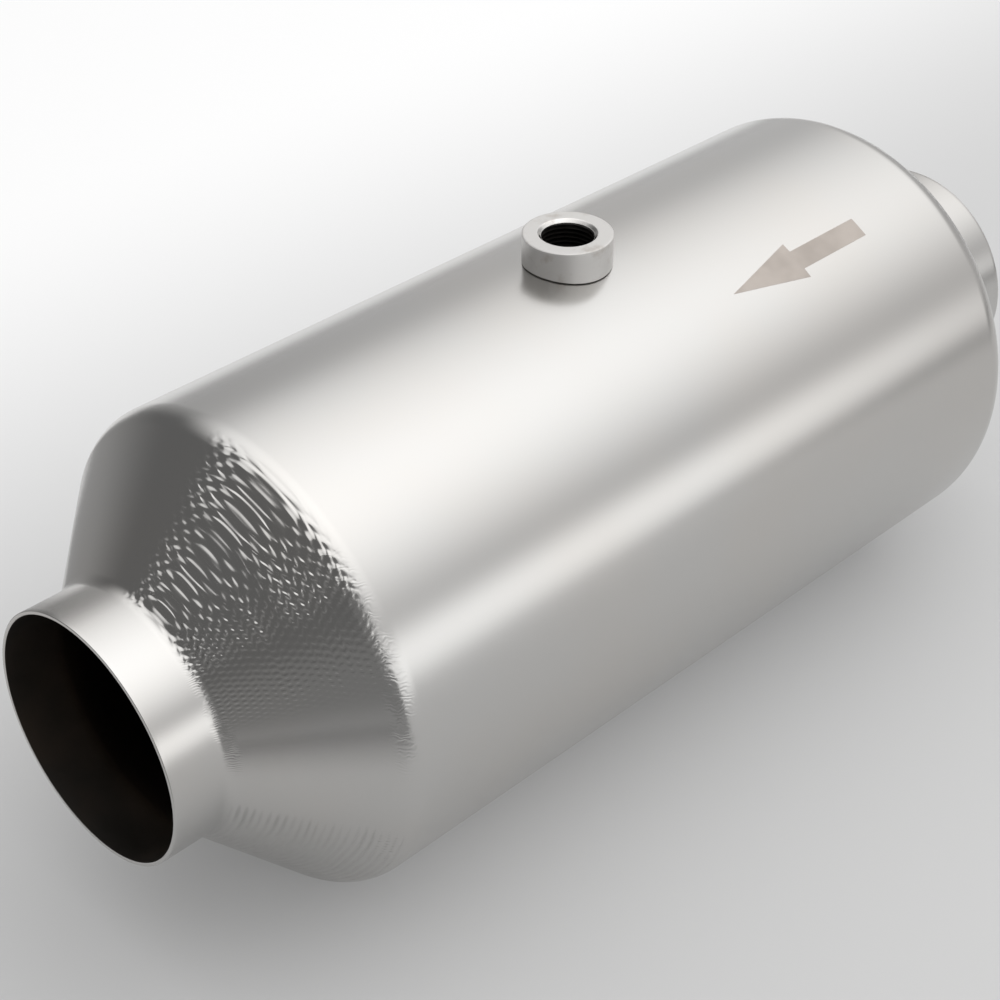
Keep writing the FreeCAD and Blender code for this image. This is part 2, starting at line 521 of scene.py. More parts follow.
def washcoat() -> bpy.types.Material:
    """Coated ceramic: a dull taupe with a chalky grain, patchy where the slurry dried."""
    colour, pale = (0.30, 0.25, 0.20), (0.40, 0.345, 0.28)
    g = Graph("washcoat")
    place = g.place()
    grain = g.noise(place, 1800.0, 2.0)
    return g.surface(
        Base_Color=g.blend(g.spread(g.noise(place, 60.0, 4.0), 0.35, 0.7), colour, pale),
        Roughness=g.spread(grain, 0.3, 0.7, 0.82, 0.98),
        Specular_IOR_Level=0.2,
        Normal=g.bump(g.times(grain, 0.03)),
    )


def fibre_mat() -> bpy.types.Material:
    """Felted ceramic fibre, matted by stretched noise, with flecks of expanding mica."""
    colour, shade, fleck = (0.72, 0.69, 0.60), (0.55, 0.51, 0.42), (0.42, 0.30, 0.12)
    g = Graph("fibre_mat")
    place = g.place()
    long_way = g.stretched(place, (260.0, 1500.0, 1500.0), 3.0)
    cross_way = g.stretched(place, (1700.0, 300.0, 300.0), 3.0)
    felt = g.math("MAXIMUM", long_way, cross_way)
    base = g.blend(g.spread(felt, 0.4, 0.75), shade, colour)
    flecks = g.spread(g.cells(place, 380.0), 0.12, 0.22, 1.0, 0.0)
    return g.surface(
        Base_Color=g.blend(flecks, base, fleck),
        Roughness=g.spread(felt, 0.4, 0.7, 0.95, 0.8),
        Specular_IOR_Level=0.2,
        Sheen_Weight=0.2,
        Normal=g.bump(g.times(felt, 0.25)),
    )


def knitted_wire() -> bpy.types.Material:
    """Fine stainless wire with painted shade: it darkens where the loops sink, following the loops'
    height, which the mesh keeps.
    """
    bright, knit_shade = (0.58, 0.57, 0.55), (0.16, 0.145, 0.13)
    g = Graph("knitted_wire")
    loops = g.value_of("loops")
    winding = g.vector(g.times(loops, 9.0), 0.0, g.times(g.parts(g.place())[0], 900.0))
    strands = g.noise(winding, 1.0, 2.0)
    # Painted shade: the wire goes dark in the hollows between the loops.
    return g.surface(
        Base_Color=g.blend(g.spread(loops, 0.1, 0.8), knit_shade, bright),
        Metallic=1.0,
        Roughness=g.spread(strands, 0.3, 0.7, 0.3, 0.5),
        Normal=g.bump(g.times(strands, 0.03)),
    )


# Shell


@dataclass(frozen=True)
class SectionLine:
    """One skin of the shell in section, from the middle of the body to a mouth.

    The line is five stretches: body, shoulder arc, flank, root arc and neck. Each adds to
    x and to the radius only over its own length, so a point is the sum of what they add.
    """

    depth: float = 0.0
    body_radius: float = 76.2
    neck_radius: float = 39.4
    shoulder_x: float = 135.54
    cone_length: float = 34.8
    neck_length: float = 18.6
    shoulder_bend: float = 11.0
    root_bend: float = 6.0

    @property
    def slope(self) -> float:
        """The cone's angle to the axis."""
        return math.atan2(self.body_radius - self.neck_radius, self.cone_length)

    @property
    def bends(self) -> tuple[float, float]:
        """The radius of the shoulder's arc and of the root's arc on this skin."""
        return self.shoulder_bend - self.depth, self.root_bend + self.depth

    @property
    def mouth_x(self) -> float:
        """Where the neck ends."""
        return self.shoulder_x + self.cone_length + self.neck_length

    @property
    def lengths(self) -> tuple[float, float, float, float, float]:
        """The length of each stretch."""
        shoulder, root = self.bends
        share = math.tan(self.slope / 2)
        inset = self.depth * share
        body = self.shoulder_x - inset - shoulder * share
        flank = math.hypot(self.cone_length, self.body_radius - self.neck_radius)
        flank -= (shoulder + root) * share
        neck = self.neck_length + inset - root * share
        return body, shoulder * self.slope, flank, root * self.slope, neck

    def at(self, run: Array) -> tuple[Array, Array, Array]:
        """The line's points.

        Args:
            run: Distances along the line from the middle of the body.

        Returns:
            x, the radius, and the outward normal's tilt towards the mouth.
        """
        shoulder, root = self.bends
        starts = np.cumsum((0.0, *self.lengths[:-1]))
        body, arc, flank, turn, neck = (
            np.clip(run - start, 0, length) for start, length in zip(starts, self.lengths)
        )
        arc, turn = arc / shoulder, turn / root
        sine, cosine = math.sin(self.slope), math.cos(self.slope)
        x = body + shoulder * np.sin(arc) + flank * cosine + neck
        x += root * (sine - np.sin(self.slope - turn))
        radius = self.body_radius - self.depth - shoulder * (1 - np.cos(arc)) - flank * sine
        radius -= root * (np.cos(self.slope - turn) - cosine)
        return x, radius, arc - turn


@dataclass
class SpunShell:
    """The converter's shell: body, cones and necks in one wall, with the sensor's port."""

    wall: float = 1.2
    rim_break: float = 0.25
    columns: int = 144
    mark_step: float = 0.236
    port_radius: float = 10.0
    patch_cells: int = 12
    patch_half: float = 20.0
    patch_shares: tuple[float, ...] = (0.25, 0.5, 0.72, 0.88, 1.0)
    ring_pitch: float = 1.65
    ring_height: float = 0.015
    arcs: tuple[tuple[float, float, float], ...] = (
        (24.0, 17.0, 1.0),
        (57.0, 2.0, 0.28),
        (124.0, 12.0, 0.6),
        (172.0, 26.0, 0.8),
        (246.0, 18.0, 0.35),
    )
    seam_angle: float = 200.0
    seam_width: float = 0.9
    seam_height: float = 0.11
    bend_band_reach: float = 5.0
    fading: float = 9.0
    outside: SectionLine = field(default_factory=SectionLine)

    @property
    def angles(self) -> Array:
        """Every column's angle: even steps from the port patch's side, closer at the seam."""
        step = 360 / self.columns
        even = np.arange(self.columns) * step - self.patch_cells / 2 * step
        extra = self.seam_angle + self.seam_width * np.array((-1.0, -0.6, -0.3, 0.3, 0.6, 1.0))
        return np.radians(np.sort(np.concatenate((even, extra))))

    def outer_runs(self) -> Array:
        """Distances of the outer skin's rows, close where the roller left its marks."""
        body, shoulder, flank, root, neck = self.outside.lengths
        marked = shoulder + flank + root
        return laid_end_to_end(
            (self.patch_half, self.patch_cells // 2),
            (body - self.fading - self.patch_half, 7),
            (self.fading, 16),
            (marked, round(marked / self.mark_step)),
            (neck - self.rim_break, 13),
        )

    def inner_runs(self, line: SectionLine) -> Array:
        """Distances of the inner skin's rows, which is plain."""
        body, shoulder, flank, root, neck = line.lengths
        return laid_end_to_end(
            (self.patch_half, self.patch_cells // 2),
            (body - self.patch_half, 3),
            (shoulder, 5),
            (flank, 3),
            (root, 5),
            (neck - self.rim_break, 3),
        )

    def spun_share(self, run: Array) -> Array:
        """How strongly the roller marked the surface, by distance from the shoulder."""
        marked = sum(self.outside.lengths[1:4])
        return smooth_step(run, 2.5, 6.5) * (1 - smooth_step(run, marked - 4.5, marked - 0.5))

    def marked_share(self, run: Array, angle: Array) -> Array:
        """How strongly the roller chattered: on uneven arcs of the spun part.

        Each arc is full up to its half-width and fades out over the next ten degrees.
        """
        share = np.zeros_like(angle)
        for middle, half, strength in self.arcs:
            away = np.abs((np.degrees(angle) - middle + 180) % 360 - 180)
            share = np.maximum(share, strength * (1 - smooth_step(away, half, half + 10)))
        return self.spun_share(run) * share

    def relief(self, run: Array, angle: Array) -> Array:
        """The outer skin's relief in millimetres: roller rings and the flattened seam.

        A ring is a cosine along the line, deeper at every second turn. The seam is a
        raised cosine across its own width, and the roller presses it down on the cones.
        """
        share = self.spun_share(run)
        turn = 2 * math.pi * run / self.ring_pitch
        swell = 0.75 + 0.25 * np.cos(turn / 2) + 0.2 * np.sin(7 * angle + 0.11 * run)
        depth = self.ring_height * (0.05 * share + 0.95 * self.marked_share(run, angle))
        rings = depth * swell * np.cos(turn + 0.8 * np.sin(3 * angle))
        across = np.degrees(angle) - self.seam_angle
        inside = np.abs(across) < self.seam_width
        bead = np.where(inside, 0.5 + 0.5 * np.cos(np.pi * across / self.seam_width), 0.0)
        return rings + self.seam_height * bead * (1 - 0.7 * share)

    def skin_rows(self, line: SectionLine, runs: Array) -> list[Array]:
        """A skin's rows from the outlet mouth to the inlet mouth, as columns.

        Args:
            line: The skin's section.
            runs: Distances of one end's rows from the middle of the body.

        Returns:
            x, the radius, the tilt towards +X and the distance from the middle.
        """
        both = np.concatenate((-runs[:0:-1], runs))
        x, radius, tilt = line.at(np.abs(both))
        parts = (np.copysign(x, both), radius, np.copysign(tilt, both), np.abs(both))
        return [part[:, None] for part in parts]

    def rims(self) -> tuple[Array, Array]:
        """Both mouths' rims, each with a quarter round on its outer and its inner edge."""
        turn = np.radians((30.0, 60.0, 90.0))[:, None]
        corner = self.outside.mouth_x - self.rim_break * (1 - np.sin(turn))
        drop = self.rim_break * (1 - np.cos(turn))
        neck = self.outside.neck_radius
        x = np.concatenate((corner, corner[::-1]))
        radius = np.concatenate((neck - drop, neck - self.wall + drop[::-1]))
        angles = self.angles
        return around_axis(x, radius, angles), around_axis(-x[::-1], radius[::-1], angles)

    def build(self) -> bpy.types.Object:
        """Builds the shell as one closed wall.

        The section's line runs along the outside from the outlet mouth to the inlet
        mouth, round the rim, back along the inside and round the other rim. A point of
        the wall is a point of that line turned by a column's angle.
        """
        angles = self.angles
        inside = SectionLine(depth=self.wall)
        x, radius, tilt, run = self.skin_rows(self.outside, self.outer_runs())
        away = run - self.outside.lengths[0]
        lift = self.relief(away, angles[None, :])
        outer = around_axis(x + lift * np.sin(tilt), radius + lift * np.cos(tilt), angles)
        inner_rows = self.skin_rows(inside, self.inner_runs(inside))
        x, radius, _, run = (part[::-1] for part in inner_rows)
        inner = around_axis(x, radius, angles)
        inlet_rim, outlet_rim = self.rims()
        grid = np.concatenate((outer, inlet_rim, inner, outlet_rim))
        first_inner = len(outer) + len(inlet_rim)
        index = np.arange(grid[..., 0].size).reshape(grid.shape[:2])
        on_outer, on_inner = slice(0, len(outer)), slice(first_inner, first_inner + len(inner))
        skin = np.zeros(index.shape, int)
        skin[on_inner] = 1
        values = {name: np.zeros(index.shape) for name in ("run", "spun", "marked")}
        values["run"][on_outer] = away
        values["spun"][on_outer] = self.spun_share(away)
        values["marked"][on_outer] = self.marked_share(away, angles[None, :])
        past_bend = run - sum(inside.lengths[:3])
        # On the inside, "spun" sets how much browner the painted shade is just past the bend.
        values["spun"][on_inner] = np.exp(-((past_bend / self.bend_band_reach) ** 2))
        mesh = self.join(grid, index, skin, (len(outer) // 2, first_inner + len(inner) // 2))
        added = len(mesh.vertices) - index.size
        for name, on_port in (("run", -100.0), ("spun", 0.0), ("marked", 0.0)):
            add_values(mesh, name, np.concatenate((values[name].ravel(), np.full(added, on_port))))
        return add_piece(mesh, Slot.SHELL, "shell")

    def join(
        self, grid: Array, index: Index, skin: Index, middles: tuple[int, int]
    ) -> bpy.types.Mesh:
        """Joins the wall's grid, less the port's squares, to the port's patches and wall.

        Args:
            grid: All grid points.
            index: Their vertex numbers.
            skin: 0 for each grid point of the outside and the rims, 1 for the inside.
            middles: The grid row through the port on the outer and on the inner skin.

        Returns:
            The shell's mesh, with steel outside and a near-black inside in painted shade.
        """
        points, kept = [grid.reshape(-1, 3)], np.ones(index.shape, bool)
        half, cells = self.patch_cells // 2, self.patch_cells
        patches, rings = [], []
        for middle, depth in zip(middles, (0.0, self.wall)):
            kept[middle - half : middle + half, :cells] = False
            square = index[middle - half : middle + half + 1, : cells + 1]
            made, ring = self.patch(square, grid, depth, points)
            patches.append(made)
            rings.append(ring)
        spokes = 4 * cells
        matched = rings[1][(3 * cells - np.arange(spokes)) % spokes]
        quads = band_faces(index, closed=True)[kept.ravel()]
        faces = [quads, *patches, band_faces(np.stack([rings[0], matched]))]
        sides = [skin.ravel()[kept.ravel()]]
        sides += [np.full(len(group), side) for group, side in zip(faces[1:], (0, 1, 1))]
        mesh = make_mesh("spun_shell", np.concatenate(points), faces, crease=35.0)
        mesh.materials.append(SpunSteel().make())
        mesh.materials.append(shaded_inner_steel())
        mesh.polygons.foreach_set("material_index", np.concatenate(sides).astype(np.int32))
        return mesh

    def patch(
        self, index: Index, grid: Array, depth: float, points: list[Array]
    ) -> tuple[Index, Index]:
        """Fills a square of the skin from its edge to the round port.

        Each spoke runs from a point of the square's edge to the port's circle at the same
        plan angle, and a point on it is the same share of the way in x and in angle.

        Args:
            index: Vertex numbers of the square's grid points.
            grid: All grid points.
            depth: The skin's depth under the outside.
            points: The points made so far; the patch's points are added to it.

        Returns:
            The patch's faces, and the vertex numbers around the port.
        """
        edge = np.concatenate((index[0, :-1], index[:-1, -1], index[-1, :0:-1], index[:0:-1, 0]))
        corner = grid.reshape(-1, 3)[edge]
        radius = self.outside.body_radius - depth
        x, angle = corner[:, 0], np.arctan2(-corner[:, 1], corner[:, 2])
        plan = np.arctan2(radius * angle, x)
        hole_x = self.port_radius * np.cos(plan)
        hole_angle = np.arcsin(self.port_radius * np.sin(plan) / radius)
        share = np.array(self.patch_shares)[:, None]
        turned = angle + share * (hole_angle - angle)
        made = around_axis(x + share * (hole_x - x), np.array(radius), turned)
        start = sum(len(group) for group in points)
        rings = start + np.arange(made[..., 0].size).reshape(made.shape[:2])
        points.append(made.reshape(-1, 3))
        return band_faces(np.concatenate((edge[None, :], rings))), rings[-1]


# Sensor boss


@dataclass
class SensorBoss:
    """The threaded boss on the crown, saddle-cut to the shell and on its weld land."""

    columns: int = 112
    outer_radius: float = 14.0
    top: float = 85.8
    chamfer: float = 0.3
    edge_break: float = 0.1
    bore_radius: float = 8.188
    thread_depth: float = 0.812
    thread_pitch: float = 1.5
    sink_radius: float = 9.2
    relief_radius: float = 10.0
    relief_top: float = 76.55
    land_radius: float = 12.4
    saddle_radius: float = 76.55
    seat_radius: float = 76.2
    rows_per_pitch: int = 14
    run_in: float = 0.8
    crest_share: float = 0.12
    flank_share: float = 0.68

    def build(self) -> bpy.types.Object:
        """Builds the boss as one closed section turned around Z.

        The section goes up the outside, in over the top, down the countersink and the
        thread, and out along the foot. Where it meets the shell its height is the shell's
        own: the root of the saddle's radius squared less y squared. The thread's wall
        steps out by its depth where its phase, height over pitch less turn, is at a root.
        """
        turn = np.linspace(0, 2 * np.pi, self.columns, endpoint=False)
        rows: list[tuple[Array, Array]] = []

        def level(radius: float, height: float) -> None:
            """Adds a row at one height."""
            rows.append((np.full_like(turn, radius), np.full_like(turn, height)))

        def seated(radius: float, hollow: float, lift: float = 0.0) -> None:
            """Adds a row that follows a cylinder around the shell's axis."""
            y = radius * np.sin(turn)
            rows.append((np.full_like(turn, radius), np.sqrt(hollow**2 - y**2) + lift))

        nick = self.edge_break
        seated(self.land_radius, self.seat_radius)
        seated(self.land_radius, self.saddle_radius)
        seated(self.outer_radius - nick, self.saddle_radius)
        seated(self.outer_radius, self.saddle_radius, nick)
        wall_top = self.top - self.chamfer
        across = self.outer_radius * np.sin(turn)
        foot = np.sqrt(self.saddle_radius**2 - across**2) + nick
        for share in (0.2, 0.4, 0.6, 0.8):
            height = foot + share * (wall_top - nick - foot)
            rows.append((np.full_like(turn, self.outer_radius), height))
        level(self.outer_radius, wall_top - nick)
        level(self.outer_radius - nick * 0.3, wall_top + nick * 0.4)
        level(self.outer_radius - self.chamfer + nick * 0.3, self.top - nick * 0.4)
        level(self.outer_radius - self.chamfer - nick, self.top)
        top_edge = self.outer_radius - self.chamfer - 0.6
        for radius in np.linspace(top_edge, self.sink_radius + 0.5, 4):
            level(radius, self.top)
        level(self.sink_radius + nick, self.top)
        first_cut_row = len(rows)
        level(self.sink_radius - nick * 0.4, self.top - nick * 0.6)
        sink_floor = self.top - (self.sink_radius - self.bore_radius)
        step = self.thread_pitch / self.rows_per_pitch
        for height in np.linspace(self.top - 0.25, sink_floor, 4):
            level(self.bore_radius + height - sink_floor, height)
        first_bore_row = len(rows) - 1
        for height in np.arange(sink_floor - step, self.relief_top, -step):
            phase = (height / self.thread_pitch - turn / (2 * np.pi)) % 1.0
            from_root = np.abs(phase - 0.5) * 2 - self.crest_share
            flank = np.clip(from_root / self.flank_share, 0, 1)
            depth = self.thread_depth * min(1.0, (sink_floor - height) / self.run_in)
            rows.append((self.bore_radius + depth * (1 - flank), np.full_like(turn, height)))
        level(self.bore_radius, self.relief_top)
        level(self.relief_radius, self.relief_top)
        seated(self.relief_radius, self.seat_radius)
        radii = np.stack([row[0] for row in rows])
        heights = np.stack([row[1] for row in rows])
        points = beside(radii * np.cos(turn), radii * np.sin(turn), heights)
        mesh = closed_mesh("sensor_port_boss", points, 32.0)
        mesh.materials.append(turned_steel())
        mesh.materials.append(shaded_bore_thread())
        cut = np.zeros(radii.shape)
        cut[first_cut_row:first_bore_row] = 1
        add_values(mesh, "cut", cut)
        in_bore = np.zeros(radii.shape, np.int32)
        in_bore[first_bore_row:] = 1
        mesh.polygons.foreach_set("material_index", in_bore.ravel())
        return add_piece(mesh, Slot.BOSS, "sensor_boss")


# Catalyst bricks and what holds them


@dataclass
class CatalystBrick:
    """A round honeycomb of square cells that run through from face to face."""

    end: End
    radius: float = 71.9
    length: float = 114.3
    chamber: float = 28.0
    pitch: float = 1.34
    web: float = 0.25
    skin: float = 0.9
    edge_break: float = 0.4

    def build(self) -> bpy.types.Object:
        """Builds the honeycomb from a lattice of web lines.

        Web k has its two sides at k times the pitch, plus and minus half a web. Between
        them lie web strips and cell openings in turn. A cell is open where all of it fits
        inside the skin. Each face is the lattice less the open cells, with spokes from
        its stepped edge out to the skin, which is in order of angle all round.
        """
        reach = self.radius - self.skin
        count = int(reach / self.pitch) + 1
        middles = np.arange(-count, count + 1) * self.pitch
        lines = (middles[:, None] + np.array((-0.5, 0.5)) * self.web).ravel()
        far = np.maximum(np.abs(lines[1:-1:2]), np.abs(lines[2::2])) + self.web
        is_open = np.hypot(far[:, None], far[None, :]) < reach
        size = len(lines) - 1
        solid = np.zeros((size, size), bool)
        span = 2 * len(far) - 1
        for row in (0, 1, 2):
            for column in (0, 1, 2):
                solid[row : row + span : 2, column : column + span : 2] |= is_open
        web = solid.copy()
        web[1::2, 1::2] &= ~is_open
        corner = np.zeros((size + 1, size + 1), int)
        for row in (0, 1):
            for column in (0, 1):
                corner[row : row + size, column : column + size] += solid
        used = corner > 0
        rim = used & (corner < 4)
        number = np.full(used.shape, -1)
        number[used] = np.arange(used.sum())
        y, z = (lines[part] for part in np.nonzero(used))
        lattice = len(y)
        rim_y, rim_z = (lines[part] for part in np.nonzero(rim))
        order = np.argsort(np.arctan2(rim_z, rim_y))
        rim_number = number[rim][order]
        rim_angle = np.arctan2(rim_z, rim_y)[order]
        low = self.chamber / 2 if self.end is End.INLET else -self.chamber / 2 - self.length
        high = low + self.length
        points = [beside(x, y, z) for x in (low, high)]
        rings = []
        start = 2 * lattice
        skins = (
            (low, self.radius - self.edge_break),
            (low + self.edge_break, self.radius),
            (high - self.edge_break, self.radius),
            (high, self.radius - self.edge_break),
        )
        for x, radius in skins:
            rings.append(start + np.arange(len(rim_angle)))
            points.append(beside(x, radius * np.cos(rim_angle), radius * np.sin(rim_angle)))
            start += len(rim_angle)

        def corners(row: Index, column: Index, steps: Sequence[tuple[int, int]]) -> Index:
            """The numbers of a cell's corners, in this order of steps from its first."""
            return beside(*(number[row + down, column + over] for down, over in steps))

        face = corners(*np.nonzero(web), ((0, 0), (0, 1), (1, 1), (1, 0)))
        row, column = (2 * part + 1 for part in np.nonzero(is_open))
        hole = corners(row, column, ((0, 0), (1, 0), (1, 1), (0, 1)))
        walls = [
            beside(hole[:, a], hole[:, b], hole[:, b] + lattice, hole[:, a] + lattice)
            for a, b in ((1, 0), (2, 1), (3, 2), (0, 3))
        ]
        outside = np.stack([rim_number, *rings, rim_number + lattice])
        faces = [face, face[:, ::-1] + lattice, *walls, band_faces(outside)]
        mesh = make_mesh(f"{self.end.word}_honeycomb", np.concatenate(points), faces, 30.0)
        mesh.materials.append(washcoat())
        return add_piece(mesh, Slot.CERAMIC, f"{self.end.word}_catalyst_brick")


@dataclass
class WireSeal:
    """A ring of knitted wire rope, pressed flat between brick and shell."""

    end: End
    place: str
    middle_x: float
    inner_radius: float = 71.9
    outer_radius: float = 75.0
    width: float = 6.0
    columns: int = 540
    rows: int = 22
    stitches: int = 108
    loop_depth: float = 0.28
    squareness: float = 0.55
    roundness: float = 0.7

    def build(self) -> bpy.types.Object:
        """Builds the ring as a rounded section turned around X, with knitted loops.

        The section is a superellipse that touches the CAD seal's four sides. A loop sinks
        the surface by its depth times one minus the sine of its own phase, and the phase
        of each row of stitches leans to and fro across the rope, which makes the V of a
        knit.
        """
        around = np.linspace(0, 2 * np.pi, self.columns, endpoint=False)[None, :]
        section = np.linspace(0, 2 * np.pi, self.rows, endpoint=False)[:, None]
        across, upward = (
            np.sign(wave) * np.abs(wave) ** self.squareness
            for wave in (np.cos(section), np.sin(section))
        )
        lean = 0.7 * np.abs((section / np.pi * 3) % 1.0 - 0.5) * 2 * np.pi
        loops = np.abs(np.sin((self.stitches * around + lean) / 2)) ** self.roundness
        sunk = self.loop_depth * (1 - loops)
        x = self.middle_x - across * (self.width / 2 - sunk)
        middle = (self.outer_radius + self.inner_radius) / 2
        radius = middle + upward * ((self.outer_radius - self.inner_radius) / 2 - sunk)
        name = f"{self.end.word}_{self.place}_knitted_seal"
        mesh = closed_mesh(name, around_axis(x, radius, around), 60.0)
        # The loops' height, which the wire's painted shade follows.
        add_values(mesh, "loops", loops)
        mesh.materials.append(knitted_wire())
        return add_piece(mesh, Slot.WIRE, f"{self.end.word}_{self.place}_wire_seal")


def dress_mats() -> None:
    """Gives both support mats, which keep their CAD meshes, the fibre finish."""
    finish = fibre_mat()
    for end in End:
        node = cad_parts[f"{end.word}_support_mat"]
        node.data.materials.clear()
        node.data.materials.append(finish)
        log.info("%s: fibre finish", node.name)


# Arrow


@dataclass
class FlowArrow:
    """The arrow etched on the crown, which points the way the gas flows."""

    tip_x: float = 34.5
    head_x: float = 65.3
    tail_x: float = 97.0
    head_half: float = 6.95
    shaft_half: float = 3.6
    tip_half: float = 0.06
    angle: float = 30.0
    film: float = 0.03
    body_radius: float = 76.2

    def build(self) -> bpy.types.Object:
        """Builds the arrow as a thin film on the body.

        Across it, a point is a share of the half-width at its x, and half-width over body
        radius is its angle from the arrow's middle. The shaft carries on the columns of
        the head that end at its own width.
        """
        inner = np.linspace(-1, 1, 7) * self.shaft_half / self.head_half
        wing = np.linspace(inner[-1], 1, 4)[1:]
        shares = np.concatenate((-wing[::-1], inner, wing))
        head = np.linspace(self.tip_x, self.head_x, 17)
        half = np.linspace(self.tip_half, self.head_half, 17)
        shaft = np.linspace(self.head_x, self.tail_x, 11)[1:]
        middle = math.radians(self.angle)
        head_angle = middle + half[:, None] * shares / self.body_radius
        shaft_angle = middle + self.head_half * inner[None, :] / self.body_radius
        shaft_angle = np.repeat(shaft_angle, len(shaft), 0)
        skins, grids, start = [], [], 0
        for lift in (self.film, 0.002):
            radius = np.array(self.body_radius + lift)
            skins.append(around_axis(head[:, None], radius, head_angle).reshape(-1, 3))
            skins.append(around_axis(shaft[:, None], radius, shaft_angle).reshape(-1, 3))
            first = start + np.arange(head_angle.size).reshape(head_angle.shape)
            start += head_angle.size
            second = start + np.arange(shaft_angle.size).reshape(shaft_angle.shape)
            start += shaft_angle.size
            shared = first[-1:, len(wing) : len(wing) + len(inner)]
            grids.append((first, np.concatenate((shared, second))))
        faces = [band_faces(grid, around=False) for grid in grids[0]]
        faces += [band_faces(grid, around=False)[:, ::-1] for grid in grids[1]]
        outlines = []
        for first, second in grids:
            wide = len(wing)
            outline = (
                first[0, :],
                first[1:, -1],
                first[-1, -2 : -wide - 1 : -1],
                second[:, -1],
                second[-1, -2::-1],
                second[-2::-1, 0],
                first[-1, wide - 1 :: -1],
                first[-2:0:-1, 0],
            )
            outlines.append(np.concatenate(outline))
        faces.append(band_faces(np.stack(outlines[::-1])))
        mesh = make_mesh("flow_arrow", np.concatenate(skins), faces, 40.0)
        mesh.materials.append(etched_mark())
        return add_piece(mesh, Slot.SHELL)


# Studio


@dataclass(frozen=True)
class Panel:
    """A staged sheet that glows evenly and thins out towards its edges.

    Each fade is an axis, where along it nothing of the sheet is left and where all of it
    is. A sheet that only the steel mirrors throws no shadow and no light on the floor.
    """

    name: str
    corners: tuple[tuple[float, float, float], ...]
    level: float
    fades: tuple[tuple[int, float, float], ...] = ()
    mirrored_only: bool = False

    def hang(self) -> None:
        """Builds the sheet and its glow."""
        sheet = staged_sheet(self.name, self.corners)
        sheet.visible_camera = False
        sheet.visible_shadow = not self.mirrored_only
        sheet.visible_diffuse = not self.mirrored_only
        g = Graph(self.name)
        along = g.parts(g.place())
        share: Any = 1.0
        for axis, bare, full in self.fades:
            low, high = min(bare, full), max(bare, full)
            ends = (0.0, 1.0) if full > bare else (1.0, 0.0)
            share = g.times(share, g.spread(along[axis], low, high, *ends))
        glow = g.node("ShaderNodeEmission")
        glow.inputs["Strength"].default_value = self.level
        sheet.data.materials.append(g.mix(share, g.node("ShaderNodeBsdfTransparent"), glow))


def upright(start: Sequence[float], end: Sequence[float], low: float, high: float) -> Any:
    """The corners of an upright sheet that stands on the line from start to end in plan."""
    return (*start, low), (*end, low), (*end, high), (*start, high)


def staged_sheet(name: str, corners: Sequence[Sequence[float]]) -> bpy.types.Object:
    """A staged sheet with these four corners, in metres."""
    mesh = bpy.data.meshes.new(name)
    mesh.from_pydata([tuple(corner) for corner in corners], [], [(0, 1, 2, 3)])
    made = bpy.data.objects.new(name, mesh)
    bpy.context.scene.collection.objects.link(made)
    return made


